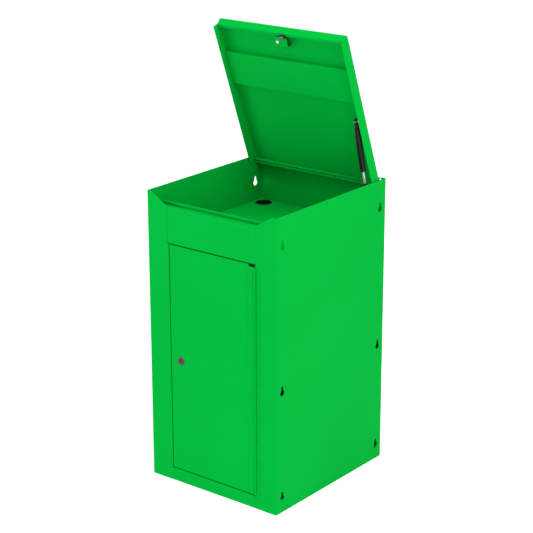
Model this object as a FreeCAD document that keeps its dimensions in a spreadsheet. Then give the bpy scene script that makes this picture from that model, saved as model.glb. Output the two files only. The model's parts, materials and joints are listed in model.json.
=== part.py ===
"""Steel side cabinet with a gas-spring lid over a cable tray and a locking door below.

Frame: X to the cabinet's right, Y towards the wall behind it, Z up. The origin is on the floor,
at the middle of the cabinet's footprint. The lid and its gas spring are drawn open, the door
is drawn shut and its lock is drawn unlocked.
"""
import FreeCAD, Part
import math
import os
import re

import Sketcher

DIMENSIONS = [
    ("width", 482.6, "outside width of the cabinet"),
    ("depth", 539.75, "outside depth of the cabinet"),
    ("height", 914.4, "height of the side panels"),
    ("sheet", 1.2, "thickness of every folded sheet"),
    ("bend", 1.2, "inside radius of a fold"),
    ("seam", 166.0, "centre plane to the inner edge of a front flange"),
    ("seam_gap", 0.4, "gap between a front flange and the panel between the flanges"),
    ("frame_left", 161.2, "centre plane to the door frame on the lock side"),
    ("frame_return", 14.0, "depth of the folds round the door opening"),
    ("sill_height", 40.8, "top of the front sill"),
    ("fascia_bottom", 765.2, "underside of the front top panel"),
    ("fascia_top", 874.0, "top ledge of the front top panel"),
    ("ledge_depth", 26.7, "front face to the wall of the rain lip"),
    ("ledge_half", 205.0, "half length of the ledge and lip, which run on behind the front flanges"),
    ("lip_top", 886.0, "top edge of the rain lip"),
    ("hem", 6.5, "height of the hem folded forward along the lip"),
    ("flange_corner", 226.3, "where the slope of a front flange starts, from the centre plane"),
    ("flange_low", 878.5, "height of a front flange at the seam"),
    ("rear_flange", 16.0, "width of the side panels' rear flanges"),
    ("tray_top", 767.6, "top surface of the tray floor"),
    ("keyhole_inset", 29.0, "keyhole centre line to the front or back face"),
    ("keyhole_radius", 9.5, "round end of a keyhole"),
    ("keyhole_slot", 4.75, "half width of a keyhole's slot"),
    ("keyhole_low", 46.0, "height of the lowest keyholes' round ends"),
    ("keyhole_mid", 381.5, "height of the middle keyholes' round ends"),
    ("keyhole_high", 824.5, "height of the upper keyholes' round ends"),
    ("anchor_x", 222.0, "centre plane to a wall anchor hole"),
    ("anchor_z", 907.6, "height of the wall anchor holes"),
    ("anchor_radius", 3.6, "radius of a wall anchor hole"),
    ("grommet_x", -199.0, "cable hole, from the centre plane"),
    ("grommet_y", 230.7, "cable hole, from the middle of the depth"),
    ("grommet_bore", 20.0, "radius of the cable passage"),
    ("grommet_flange", 26.7, "radius of the grommet's flange"),
    ("grommet_seat", 23.2, "radius of the hole in the tray floor"),
    ("door_left", 157.8, "centre plane to the door's lock edge"),
    ("door_right", 163.0, "centre plane to the door's hinge edge"),
    ("door_bottom", 44.2, "bottom of the door"),
    ("door_top", 762.0, "top of the door"),
    ("notch_left", 141.0, "left end of the notch at the door's upper hinge corner"),
    ("notch_height", 6.2, "height of that notch"),
    ("door_hinge_x", 166.6, "door hinge line, from the centre plane"),
    ("door_hinge_low", 46.0, "lower end of the door hinge"),
    ("barrel", 2.6, "outside radius of a hinge barrel"),
    ("leaf_face", 2.9, "hinge line to the back of a leaf"),
    ("pin", 1.25, "radius of a hinge pin"),
    ("pin_hole", 1.3, "radius of the hole in a barrel"),
    ("knuckle", 15.0, "pitch of the hinge knuckles"),
    ("knuckle_gap", 0.4, "gap between two knuckles"),
    ("lock_x", 120.0, "centre plane to the door lock, on the lock side"),
    ("lock_z", 402.0, "height of the door lock"),
    ("lock_barrel", 9.3, "radius of the lock's threaded body"),
    ("lock_bezel", 12.7, "radius of the lock's front flange"),
    ("plug", 6.0, "radius of the lock's plug"),
    ("cam_length", 48.0, "lock axis to the tip of the cam"),
    ("lid_half", 236.3, "half width of the lid"),
    ("lid_wall", 36.8, "depth of the lid's side walls"),
    ("lid_length", 501.4, "hinge line to the lid's front fold"),
    ("lid_top", 9.1, "hinge line to the lid's top face when it is shut"),
    ("lid_rear", 1.7, "hinge line to the rear face of the lid"),
    ("lid_hinge_y", 234.525, "lid hinge line, from the middle of the depth"),
    ("lid_hinge_z", 905.3, "height of the lid hinge line"),
    ("lid_open", 69.5, "how far the lid opens, in degrees"),
    ("rail_top", 902.4, "top of the rear hinge rail"),
    ("rail_bottom", 892.4, "bottom edge of the rear hinge rail"),
    ("spring_x", 218.0, "centre plane to the gas spring"),
    ("stud_forward", 225.2, "hinge line to the upper ball with the lid shut, forwards"),
    ("stud_drop", 14.5, "hinge line to the upper ball with the lid shut, downwards"),
    ("anchor_ball_y", 196.5, "lower ball, from the middle of the depth"),
    ("anchor_ball_z", 892.0, "height of the lower ball"),
    ("tube", 9.0, "outside radius of the gas spring's tube"),
    ("tube_bore", 7.5, "bore radius of the gas spring's tube"),
    ("tube_top", 22.6, "upper ball to the tube"),
    ("tube_length", 140.0, "length of the gas spring's tube"),
    ("rod", 4.0, "radius of the gas spring's rod"),
    ("ball", 5.0, "radius of a ball stud's ball"),
    ("socket", 6.8, "radius of a ball socket"),
    ("socket_length", 20.0, "lower ball to the end of its socket"),
    ("bracket_sheet", 2.0, "thickness of the gas spring's lower bracket"),
    ("bracket_face", 231.5, "centre plane to the outer face of that bracket's tab"),
    ("catch_half", 22.0, "half width of the lid catch bracket"),
]

PLANE_AXES = {"XY": (0, 1, 2), "XZ": (0, 2, 1), "YZ": (1, 2, 0)}
DOOR_KNUCKLES = 47
LID_KNUCKLES = 31
DOOR_RIVETS = 9
DOOR_RIVET_PITCH = 84.0
LID_RIVETS = 4
LID_RIVET_PITCH = 148.0
TINY = 1e-4

doc = FreeCAD.newDocument("SideCabinet")
dims = doc.addObject("Spreadsheet::Sheet", "Dims")
nodes = []


def fill_sheet():
    """Write the driving dimensions into the sheet, one alias to a row."""
    for row, (alias, value, note) in enumerate(DIMENSIONS, start=1):
        dims.set(f"A{row}", alias)
        dims.set(f"B{row}", str(value))
        dims.setAlias(f"B{row}", alias)
        dims.set(f"C{row}", note)
    doc.recompute()


def bound(expression):
    """An expression over the sheet's aliases, as the document's expression engine wants it."""
    return re.sub(r"\b([a-z][a-z_]+)\b", r"Dims.\1", expression)


def size(expression):
    """The value of an expression over the sheet's aliases."""
    return float(dims.evalExpression(bound(expression)))


def make_body(label):
    """A new sub-part, named as its file will be."""
    body = doc.addObject("PartDesign::Body", label)
    body.Label = label
    nodes.append(body)
    return body


def origin_feature(body, role):
    """One of the body's own origin planes or axes."""
    return next(item for item in body.Origin.OriginFeatures if item.Role == role)


def new_sketch(body, plane, offset):
    """An empty sketch on an origin plane, moved along the plane's normal."""
    sketch = body.newObject("Sketcher::SketchObject", "Sketch")
    sketch.AttachmentSupport = (origin_feature(body, plane + "_Plane"), [""])
    sketch.MapMode = "FlatFace"
    sketch.setExpression("AttachmentOffset.Base.z", bound(offset))
    return sketch


def constrain(sketch, kind, expression, *where):
    """A dimension of a sketch, bound to the sheet."""
    index = sketch.addConstraint(Sketcher.Constraint(kind, *where, size(expression)))
    sketch.setExpression(f"Constraints[{index}]", bound(expression))


def place_point(sketch, geometry, point, horizontal, vertical):
    """Fix one point of a sketch from the sketch's origin."""
    constrain(sketch, "DistanceX", horizontal, -1, 1, geometry, point)
    constrain(sketch, "DistanceY", vertical, -1, 1, geometry, point)


def draw_polygon(sketch, points):
    """A closed outline of straight lines through (horizontal, vertical) expressions."""
    corners = [FreeCAD.Vector(size(h), size(v), 0) for h, v in points]
    first = sketch.GeometryCount
    count = len(corners)
    for index, corner in enumerate(corners):
        sketch.addGeometry(Part.LineSegment(corner, corners[(index + 1) % count]), False)
    for index, (horizontal, vertical) in enumerate(points):
        following = first + (index + 1) % count
        sketch.addConstraint(Sketcher.Constraint("Coincident", first + index, 2, following, 1))
        place_point(sketch, first + index, 1, horizontal, vertical)


def draw_circle(sketch, horizontal, vertical, radius):
    """A circle whose centre and radius are expressions."""
    centre = FreeCAD.Vector(size(horizontal), size(vertical), 0)
    circle = Part.Circle(centre, FreeCAD.Vector(0, 0, 1), size(radius))
    index = sketch.addGeometry(circle, False)
    place_point(sketch, index, 3, horizontal, vertical)
    constrain(sketch, "Radius", radius, index)


def draw_keyhole(sketch, horizontal, vertical):
    """A round hole with a slot rising from it, for hanging on a shouldered stud."""
    radius, half = size("keyhole_radius"), size("keyhole_slot")
    x, y = size(horizontal), size(vertical)
    rise = math.sqrt(radius ** 2 - half ** 2)
    crown = y + size("15.75")
    up = FreeCAD.Vector(0, 0, 1)
    mouth = math.asin(rise / radius)
    round_end = Part.Circle(FreeCAD.Vector(x, y, 0), up, radius)
    slot_end = Part.Circle(FreeCAD.Vector(x, crown, 0), up, half)
    first = sketch.addGeometry(Part.ArcOfCircle(round_end, math.pi - mouth, 2 * math.pi + mouth), False)
    foot, head = FreeCAD.Vector(x + half, y + rise, 0), FreeCAD.Vector(x + half, crown, 0)
    sketch.addGeometry(Part.LineSegment(foot, head), False)
    sketch.addGeometry(Part.ArcOfCircle(slot_end, 0, math.pi), False)
    foot, head = FreeCAD.Vector(x - half, y + rise, 0), FreeCAD.Vector(x - half, crown, 0)
    sketch.addGeometry(Part.LineSegment(head, foot), False)
    for index in range(4):
        sketch.addConstraint(
            Sketcher.Constraint("Coincident", first + index, 2, first + (index + 1) % 4, 1))
    for index in (1, 3):
        sketch.addConstraint(Sketcher.Constraint("Vertical", first + index))
    place_point(sketch, first, 3, horizontal, vertical)
    place_point(sketch, first + 2, 3, horizontal, vertical + " + 15.75")
    constrain(sketch, "Radius", "keyhole_radius", first)
    constrain(sketch, "Radius", "keyhole_slot", first + 2)


def slab_offset(plane, start, end):
    """Where a feature that grows along the plane's normal starts."""
    return f"-({end})" if plane == "XZ" else start


def pad(body, plane, start, end, *polygons, circles=()):
    """Material between two coordinates along the plane's axis."""
    sketch = new_sketch(body, plane, slab_offset(plane, start, end))
    for points in polygons:
        draw_polygon(sketch, points)
    for circle in circles:
        draw_circle(sketch, *circle)
    feature = body.newObject("PartDesign::Pad", "Pad")
    feature.Profile = sketch
    feature.setExpression("Length", bound(f"({end}) - ({start})"))
    doc.recompute()
    return feature


def pocket(body, plane, start, end, *polygons, circles=(), keyholes=()):
    """Cut between two coordinates along the plane's axis."""
    before = body.Tip.Shape.Volume
    sketch = new_sketch(body, plane, slab_offset(plane, start, end))
    for points in polygons:
        draw_polygon(sketch, points)
    for circle in circles:
        draw_circle(sketch, *circle)
    for place in keyholes:
        draw_keyhole(sketch, *place)
    feature = body.newObject("PartDesign::Pocket", "Pocket")
    feature.Profile = sketch
    feature.Reversed = True
    feature.setExpression("Length", bound(f"({end}) - ({start})"))
    doc.recompute()
    if feature.Shape.Volume > before - TINY:
        raise RuntimeError(f"{body.Label}: a pocket cuts nothing")
    return feature


def revolve(body, plane, points, degrees=360.0):
    """A turned shape: (radius, height) expressions about the sketch's vertical axis."""
    sketch = new_sketch(body, plane, "0")
    draw_polygon(sketch, points)
    feature = body.newObject("PartDesign::Revolution", "Revolution")
    feature.Profile = sketch
    feature.ReferenceAxis = (sketch, ["V_Axis"])
    feature.Angle = degrees
    doc.recompute()
    return feature


def turn_ball(body, kind, radius):
    """A true ball about the body's origin, turned about X and added or cut as kind says."""
    sketch = new_sketch(body, "XZ", "0")
    circle = Part.Circle(FreeCAD.Vector(), FreeCAD.Vector(0, 0, 1), size(radius))
    sketch.addGeometry(Part.ArcOfCircle(circle, 0, math.pi), False)
    reach = FreeCAD.Vector(size(radius), 0, 0)
    sketch.addGeometry(Part.LineSegment(-reach, reach), False)
    sketch.addConstraint(Sketcher.Constraint("Coincident", 0, 2, 1, 1))
    sketch.addConstraint(Sketcher.Constraint("Coincident", 1, 2, 0, 1))
    sketch.addConstraint(Sketcher.Constraint("Coincident", 0, 3, -1, 1))
    sketch.addConstraint(Sketcher.Constraint("PointOnObject", 0, 1, -1))
    sketch.addConstraint(Sketcher.Constraint("PointOnObject", 0, 2, -1))
    constrain(sketch, "Radius", radius, 0)
    feature = body.newObject(kind, "Ball")
    feature.Profile = sketch
    feature.ReferenceAxis = (sketch, ["H_Axis"])
    feature.Angle = 360.0
    doc.recompute()


def repeat(body, feature, role, pitch, count):
    """Copies of a feature in a row along one of the body's axes."""
    pattern = body.newObject("PartDesign::LinearPattern", "Row")
    pattern.Originals = [feature]
    pattern.Direction = (origin_feature(body, role), [""])
    pattern.setExpression("Length", bound(f"({pitch}) * {count - 1}"))
    pattern.Occurrences = count
    body.Tip = pattern
    doc.recompute()
    return pattern


def rectangle(left, bottom, right, top):
    """The four corners of a rectangle."""
    return [(left, bottom), (right, bottom), (right, top), (left, top)]


def turn(points, index):
    """The right-hand normals of the path's segments beside a point, as (horizontal, vertical)."""
    numbers = [(size(h), size(v)) for h, v in points]
    normals = []
    for start in (index - 1, index):
        if 0 <= start < len(points) - 1:
            run = [numbers[start + 1][axis] - numbers[start][axis] for axis in (0, 1)]
            length = math.hypot(*run)
            normals.append((round(run[1] / length), round(-run[0] / length)))
    return normals


def folded(path, thickness="sheet"):
    """The outline of a folded sheet: the path is its left face, the sheet lies to its right."""
    inner = []
    for index, (horizontal, vertical) in enumerate(path):
        normals = turn(path, index)
        shift_h = sum(normal[0] for normal in normals)
        shift_v = sum(normal[1] for normal in normals)
        inner.append((f"({horizontal}) + {shift_h} * {thickness}",
                      f"({vertical}) + {shift_v} * {thickness}"))
    return path + inner[::-1]


def edges_along(feature, plane, corner):
    """Names of the straight edges that stand on a corner of a plane's outline."""
    across, upright, along = PLANE_AXES[plane]
    names = []
    for index, edge in enumerate(feature.Shape.Edges, start=1):
        ends = [vertex.Point for vertex in edge.Vertexes]
        if len(ends) < 2 or abs(ends[0][along] - ends[1][along]) < TINY:
            continue
        on_corner = all(math.hypot(end[across] - corner[0], end[upright] - corner[1]) < 1e-3
                        for end in ends)
        if on_corner:
            names.append(f"Edge{index}")
    return names


def round_edges(body, feature, names, radius):
    """A fillet on named edges."""
    fillet = body.newObject("PartDesign::Fillet", "Bend")
    fillet.Base = (feature, names)
    fillet.setExpression("Radius", bound(radius))
    doc.recompute()
    return fillet


def bend_folds(body, feature, plane, path, thickness="sheet"):
    """Round both faces of each fold of a folded sheet."""
    outline = folded(path, thickness)
    count = len(path)
    left_turns, right_turns = [], []
    for index in range(1, count - 1):
        before, after = turn(path, index)
        turns_right = before[0] * after[1] - before[1] * after[0] < 0
        left_face, right_face = path[index], outline[2 * count - 1 - index]
        outer, inner = (left_face, right_face) if turns_right else (right_face, left_face)
        left_turns.append(outer)
        right_turns.append(inner)
    for corners, radius in ((left_turns, f"bend + {thickness}"), (right_turns, "bend")):
        names = []
        for horizontal, vertical in corners:
            names += edges_along(feature, plane, (size(horizontal), size(vertical)))
        feature = round_edges(body, feature, names, radius)
    return feature


def fold_sheet(body, plane, start, end, path, thickness="sheet"):
    """A sheet folded along a path, with rounded folds, as the body's first feature."""
    feature = pad(body, plane, start, end, folded(path, thickness))
    return bend_folds(body, feature, plane, path, thickness)


def place(body, position, rotation=FreeCAD.Rotation()):
    """Put a body where its (x, y, z) expressions say."""
    body.Placement = FreeCAD.Placement(FreeCAD.Vector(*(size(item) for item in position)), rotation)
    for axis, expression in zip("xyz", position):
        body.setExpression(f"Placement.Base.{axis}", bound(expression))


def make_side_panel(name, side, frame_edge):
    """Side panel with front and rear flanges; side is "-" for the left panel."""
    body = make_body(name)
    path = [(f"{side}(width/2 - rear_flange)", "depth/2"), (f"{side}width/2", "depth/2"),
            (f"{side}width/2", "-depth/2"), (f"{side}seam", "-depth/2")]
    path = path if side == "" else path[::-1]
    fold_sheet(body, "XY", "0", "height", path)
    jamb = [(f"{side}(seam + 6)", "-depth/2"), (f"{side}{frame_edge}", "-depth/2"),
            (f"{side}{frame_edge}", "-depth/2 + frame_return")]
    jamb = jamb if side == "" else jamb[::-1]
    low, high = "sill_height + sheet", "fascia_bottom - sheet"
    pad(body, "XY", low, high, folded(jamb))
    slope = [(f"{side}flange_corner", "height"), (f"{side}(seam - 8)", "flange_low - 8*0.595"),
             (f"{side}(seam - 8)", "height + 2"), (f"{side}flange_corner", "height + 2")]
    pocket(body, "XZ", "-depth/2 - 1", "-depth/2 + bend + sheet", slope)
    rows = ("keyhole_low", "keyhole_mid", "keyhole_high")
    columns = ("-(depth/2 - keyhole_inset)", "depth/2 - keyhole_inset")
    places = [(column, row) for row in rows for column in columns]
    start, end = ("width/2 - 3", "width/2 + 1") if side == "" else ("-width/2 - 1", "3 - width/2")
    pocket(body, "YZ", start, end, keyholes=places)


def make_back_panel():
    """Back panel inside the side panels' rear flanges, with a short fold at the top."""
    body = make_body("back_panel")
    path = [("depth/2 - 9", "height"), ("depth/2 - sheet", "height"), ("depth/2 - sheet", "0")]
    half = "width/2 - sheet - bend"
    fold_sheet(body, "YZ", f"-({half})", half, path)
    holes = [(sign + "anchor_x", "anchor_z", "anchor_radius") for sign in ("-", "")]
    pocket(body, "XZ", "depth/2 - 4", "depth/2", circles=holes)


def make_bottom_panel():
    """Floor of the lower compartment: a pan with its folds turned down."""
    body = make_body("bottom_panel")
    half = "(width/2 - sheet - 0.3)"
    front, back = "(22 - depth/2)", "(depth/2 - 2*sheet)"
    top = "(sill_height - sheet)"
    block = pad(body, "XY", "0", top, rectangle(f"-{half}", front, half, back))
    corner_y = [size(front), size(back)]
    names = edges_along(block, "YZ", (corner_y[0], size(top)))
    names += edges_along(block, "YZ", (corner_y[1], size(top)))
    names += edges_along(block, "XZ", (size(half), size(top)))
    names += edges_along(block, "XZ", (-size(half), size(top)))
    round_edges(body, block, names, "bend")
    inner = rectangle(f"-{half} + sheet", f"{front} + sheet", f"{half} - sheet", f"{back} - sheet")
    pocket(body, "XY", "-1", f"{top} - sheet", inner)
    scallop = ("depth/2 - keyhole_inset", "keyhole_low", "keyhole_radius + 1")
    for start, end in ((f"-{half} - 1", f"4 - {half}"), (f"{half} - 4", f"{half} + 1")):
        pocket(body, "YZ", start, end, circles=[scallop])


def make_front_sill():
    """Channel below the door; its upper fold lies on the bottom panel."""
    body = make_body("front_sill")
    path = [("20 - depth/2", "0"), ("-depth/2", "0"), ("-depth/2", "sill_height"),
            ("34 - depth/2", "sill_height")]
    fold_sheet(body, "YZ", "-(seam - seam_gap)", "seam - seam_gap", path)


def make_front_top_panel():
    """Panel above the door: a door stop below, a ledge and a hemmed rain lip at the top."""
    body = make_body("front_top_panel")
    edge = "(seam - seam_gap)"
    path = [("frame_return + 3 - depth/2", "fascia_bottom - 15"),
            ("frame_return + 3 - depth/2", "fascia_bottom"), ("-depth/2", "fascia_bottom"),
            ("-depth/2", "fascia_top"), ("9 - depth/2", "fascia_top")]
    fold_sheet(body, "YZ", f"-({edge} - bend - sheet)", f"{edge} - bend - sheet", path)
    wall, front = "(ledge_depth - depth/2)", "(ledge_depth - sheet - depth/2)"
    lip = [("2*sheet - depth/2", "fascia_top"), (wall, "fascia_top"), (wall, "lip_top - 1.8")]
    feature = pad(body, "YZ", "-ledge_half", "ledge_half", folded(lip))
    names = edges_along(feature, "YZ", (size(wall), size("fascia_top")))
    feature = round_edges(body, feature, names, "bend/2")
    hem = [(wall, "lip_top - 1.8"), (wall, "lip_top - sheet"), (front, "lip_top - sheet"),
           (front, "lip_top - hem"), (f"{front} - sheet", "lip_top - hem"),
           (f"{front} - sheet", "lip_top"), (f"{wall} + sheet", "lip_top"),
           (f"{wall} + sheet", "lip_top - 1.8")]
    feature = pad(body, "YZ", "-ledge_half", "ledge_half", hem)
    names = edges_along(feature, "YZ", (size(f"{front} - sheet"), size("lip_top")))
    names += edges_along(feature, "YZ", (size(f"{wall} + sheet"), size("lip_top")))
    round_edges(body, feature, names, "1.7")
    for side in ("-", ""):
        fold = [(f"{side}({edge} - 12)", "-depth/2"), (f"{side}{edge}", "-depth/2"),
                (f"{side}{edge}", "-depth/2 + frame_return")]
        fold = fold[::-1] if side == "" else fold
        feature = pad(body, "XY", "tray_top", "fascia_top - bend - sheet", folded(fold))
        names = edges_along(feature, "XY", (size(side + edge), size("-depth/2")))
        round_edges(body, feature, names, "bend")


def make_tray_floor():
    """Floor of the tray under the lid, with folds down the sides and the back."""
    body = make_body("tray_floor")
    half = "(width/2 - sheet - 0.3)"
    front, back = "(bend + sheet - depth/2)", "(depth/2 - 2*sheet)"
    low, top = "(tray_top - 20)", "tray_top"
    block = pad(body, "XY", low, top, rectangle(f"-{half}", front, half, back))
    names = edges_along(block, "YZ", (size(back), size(top)))
    names += edges_along(block, "XZ", (size(half), size(top)))
    names += edges_along(block, "XZ", (-size(half), size(top)))
    round_edges(body, block, names, "bend")
    inner = rectangle(f"-{half} + sheet", f"{front} - 1", f"{half} - sheet", f"{back} - sheet")
    pocket(body, "XY", f"{low} - 1", f"{top} - sheet", inner)
    hole = ("grommet_x", "grommet_y", "grommet_seat")
    pocket(body, "XY", f"{top} - 3", f"{top} + 1", circles=[hole])


def make_rear_rail():
    """Hinge rail between the side panels: front face for the hinge, top, and a fold at the back."""
    body = make_body("rear_hinge_rail")
    face, back = "lid_hinge_y + leaf_face", "depth/2 - 2*sheet"
    path = [(face, "rail_bottom"), (face, "rail_top"), (back, "rail_top"), (back, "rail_bottom - 6")]
    half = "width/2 - sheet - 0.3"
    fold_sheet(body, "YZ", f"-({half})", half, path)
    return body


def make_grommet():
    """Rubber grommet gripping the edge of the tray's cable hole."""
    body = make_body("cable_grommet")
    groove = "grommet_seat - 0.1"
    revolve(body, "XZ", [
        ("grommet_bore", "-4.4"), ("grommet_flange - 1.6", "-4.4"), ("grommet_flange - 0.8", "-sheet"),
        (groove, "-sheet"), (groove, "0"), ("grommet_flange", "0"), ("grommet_flange", "1.2"),
        ("grommet_flange - 1.8", "3"), ("grommet_bore + 1.2", "3"), ("grommet_bore", "1.8")])
    place(body, ("grommet_x", "grommet_y", "tray_top"))


def make_hinge_leaf(name, side, leaf_width, knuckles, first_gap):
    """Leaf of a continuous hinge along local Z: a plate beside the line and every other knuckle."""
    body = make_body(name)
    length = f"knuckle * {knuckles}"
    near, far = ("0", leaf_width) if side > 0 else (f"-({leaf_width})", "0")
    pad(body, "XY", "0", length, rectangle(near, "leaf_face - sheet", far, "leaf_face"))
    pad(body, "XY", "0", length, circles=[("0", "0", "barrel")])
    pocket(body, "XY", "-1", f"{length} + 1", circles=[("0", "0", "pin_hole")])
    reach = "(barrel + 0.6)"
    start, end = f"knuckle * {first_gap} - knuckle_gap/2", f"knuckle * {first_gap + 1} + knuckle_gap/2"
    gap = pocket(body, "XY", start, end, rectangle(f"-{reach}", f"-{reach}", reach, reach))
    repeat(body, gap, "Z_Axis", "knuckle * 2", len(range(first_gap, knuckles, 2)))
    return body


def make_pin(name, knuckles):
    """Hinge pin, standing a little past both ends of its hinge."""
    body = make_body(name)
    pad(body, "XY", "-0.8", f"knuckle * {knuckles} + 0.8", circles=[("0", "0", "pin")])
    return body


def make_rivets(name, count, pitch):
    """A row of blind rivets along local X: domed heads towards -Y and shanks through two sheets."""
    body = make_body(name)
    body.AllowCompound = True
    rivet = revolve(body, "XY", [
        ("0", "-1"), ("1.4", "-0.8"), ("2.5", "-0.3"), ("2.5", "0"), ("1.6", "0"),
        ("1.6", "2*sheet + 0.6"), ("1.2", "2*sheet + 1.4"), ("0", "2*sheet + 1.4")])
    repeat(body, rivet, "X_Axis", str(pitch), count)
    return body


def rivet_holes(body, plane, start, end, first, vertical, role, pitch, count):
    """Holes for a row of rivets."""
    hole = pocket(body, plane, start, end, circles=[(first, vertical, "1.6")])
    repeat(body, hole, role, str(pitch), count)


def make_door_hinge():
    """The door's continuous hinge, with the rivets that hold its fixed leaf to the side panel."""
    at_hinge = ("door_hinge_x", "-depth/2 - leaf_face", "door_hinge_low")
    low = "360.6 - 4*84"
    fixed = make_hinge_leaf("door_hinge_fixed_leaf", 1, "12.1", DOOR_KNUCKLES, 1)
    rivet_holes(fixed, "XZ", "0", "4", "7.3", low, "Z_Axis", DOOR_RIVET_PITCH, DOOR_RIVETS)
    place(fixed, at_hinge)
    moving = make_hinge_leaf("door_hinge_moving_leaf", -1, "27.6", DOOR_KNUCKLES, 0)
    place(moving, at_hinge)
    place(make_pin("door_hinge_pin", DOOR_KNUCKLES), at_hinge)
    rivets = make_rivets("door_hinge_rivets", DOOR_RIVETS, DOOR_RIVET_PITCH)
    upright = FreeCAD.Rotation(FreeCAD.Vector(0, 1, 0), -90)
    place(rivets, ("door_hinge_x + 7.3", "-depth/2 - sheet", f"door_hinge_low + {low}"), upright)
    panel = doc.getObject("side_panel_right")
    rivet_holes(panel, "XZ", "-depth/2 - 1", "-depth/2 + 3", "door_hinge_x + 7.3",
                f"door_hinge_low + {low}", "Z_Axis", DOOR_RIVET_PITCH, DOOR_RIVETS)


def make_lid_hinge(rail):
    """The lid's continuous hinge, with the rivets that hold its fixed leaf to the rear rail."""
    length = f"knuckle * {LID_KNUCKLES}"
    at_hinge = (f"-({length})/2", "lid_hinge_y", "lid_hinge_z")
    along = FreeCAD.Rotation(FreeCAD.Vector(0, 0, -1), FreeCAD.Vector(0, 1, 0),
                             FreeCAD.Vector(1, 0, 0), "XYZ")
    rivet_x, rivet_z = f"({length})/2 - {1.5 * LID_RIVET_PITCH}", "6.3"
    fixed = make_hinge_leaf("lid_hinge_fixed_leaf", 1, "11.9", LID_KNUCKLES, 1)
    rivet_holes(fixed, "XZ", "0", "4", rivet_z, rivet_x, "Z_Axis", LID_RIVET_PITCH, LID_RIVETS)
    place(fixed, at_hinge, along)
    place(make_pin("lid_hinge_pin", LID_KNUCKLES), at_hinge, along)
    rivets = make_rivets("lid_hinge_rivets", LID_RIVETS, LID_RIVET_PITCH)
    place(rivets, (f"-{1.5 * LID_RIVET_PITCH}", "lid_hinge_y + leaf_face - sheet",
                   f"lid_hinge_z - {rivet_z}"))
    rivet_holes(rail, "XZ", "lid_hinge_y", "lid_hinge_y + 6", f"-{1.5 * LID_RIVET_PITCH}",
                f"lid_hinge_z - {rivet_z}", "X_Axis", LID_RIVET_PITCH, LID_RIVETS)
    moving = make_hinge_leaf("lid_hinge_moving_leaf", -1, "lid_top - sheet - 0.2", LID_KNUCKLES, 0)
    tilt = FreeCAD.Rotation(FreeCAD.Vector(1, 0, 0), -size("lid_open"))
    place(moving, at_hinge, tilt.multiply(along))


def make_door_panel():
    """Door pan with its folds turned in, a notch at the upper hinge corner and the lock hole."""
    body = make_body("door_panel")
    front, back = "-depth/2", "-depth/2 + frame_return"
    outer = rectangle("-door_left", "door_bottom", "door_right", "door_top")
    block = pad(body, "XZ", front, back, outer)
    names = []
    for height in ("door_bottom", "door_top"):
        names += edges_along(block, "YZ", (size(front), size(height)))
    for across in ("-door_left", "door_right"):
        names += edges_along(block, "XY", (size(across), size(front)))
    round_edges(body, block, names, "bend")
    inner = rectangle("-door_left + sheet", "door_bottom + sheet", "door_right - sheet", "door_top - sheet")
    pocket(body, "XZ", f"{front} + sheet", f"{back} + 1", inner)
    notch = rectangle("notch_left", "door_top - notch_height", "door_right + 1", "door_top + 1")
    pocket(body, "XZ", f"{front} - 1", f"{back} + 1", notch)
    pocket(body, "XZ", f"{front} - 1", f"{front} + 3", circles=[("-lock_x", "lock_z", "lock_barrel + 0.1")])


def make_door_stiffener():
    """Hat channel down the inside of the door."""
    body = make_body("door_stiffener")
    skin, crown = "sheet - depth/2", "frame_return - 0.8 - depth/2"
    path = [("32", skin), ("18", skin), ("18", crown), ("-18", crown), ("-18", skin), ("-32", skin)]
    fold_sheet(body, "XY", "door_bottom + 26", "door_top - 26", path)


def make_door_lock():
    """Cam lock: housing and nut fixed in the door, plug, cam and screw turning together."""
    at_lock = ("-lock_x", "-depth/2", "lock_z")
    housing = make_body("door_lock_housing")
    revolve(housing, "XY", [
        ("plug + 0.05", "-2.2"), ("lock_bezel - 1.2", "-2.2"), ("lock_bezel", "-1.2"), ("lock_bezel", "0"),
        ("lock_barrel", "0"), ("lock_barrel", "15.2"), ("plug + 0.05", "15.2")])
    place(housing, at_lock)
    nut = make_body("door_lock_nut")
    flat = "13"
    hexagon = [(f"{flat} * {round(math.cos(math.radians(60 * k)), 6)}",
                f"{flat} * {round(math.sin(math.radians(60 * k)), 6)}") for k in range(6)]
    pad(nut, "XZ", "sheet", "sheet + 4.5", hexagon, circles=[("0", "0", "lock_barrel")])
    place(nut, at_lock)
    plug = make_body("door_lock_plug")
    pad(plug, "XZ", "-2.2", "15.3", circles=[("0", "0", "plug")])
    pad(plug, "XZ", "15.3", "17.5", rectangle("-4", "-4", "4", "4"))
    pocket(plug, "XZ", "-3", "4", rectangle("-0.8", "-4", "0.8", "4"))
    place(plug, at_lock)
    cam = make_body("door_lock_cam")
    blade = [("-7", "-7"), ("7", "-7"), ("7", "cam_length - 3"), ("4", "cam_length"),
             ("-4", "cam_length"), ("-7", "cam_length - 3")]
    pad(cam, "XZ", "15.4", "17.4", blade)
    pocket(cam, "XZ", "15", "18", rectangle("-4", "-4", "4", "4"))
    place(cam, at_lock)
    screw = make_body("door_lock_cam_screw")
    revolve(screw, "XY", [("0", "17.5"), ("5.8", "17.5"), ("5.8", "18.4"), ("3.6", "18.4"),
                          ("3.6", "20.4"), ("2.8", "21"), ("0", "21")])
    pocket(screw, "XY", "-0.5", "0.5", rectangle("-4", "20", "4", "22"))
    place(screw, at_lock)


def make_door_bumpers():
    """Two rubber discs on the door stop, which the top fold of the door closes against."""
    body = make_body("door_bumpers")
    body.AllowCompound = True
    face = "frame_return + 3 - depth/2"
    pads = [(x, "door_top - 4", "5") for x in ("-110", "110")]
    pad(body, "XZ", f"{face} - 2.7", face, circles=pads)


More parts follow.
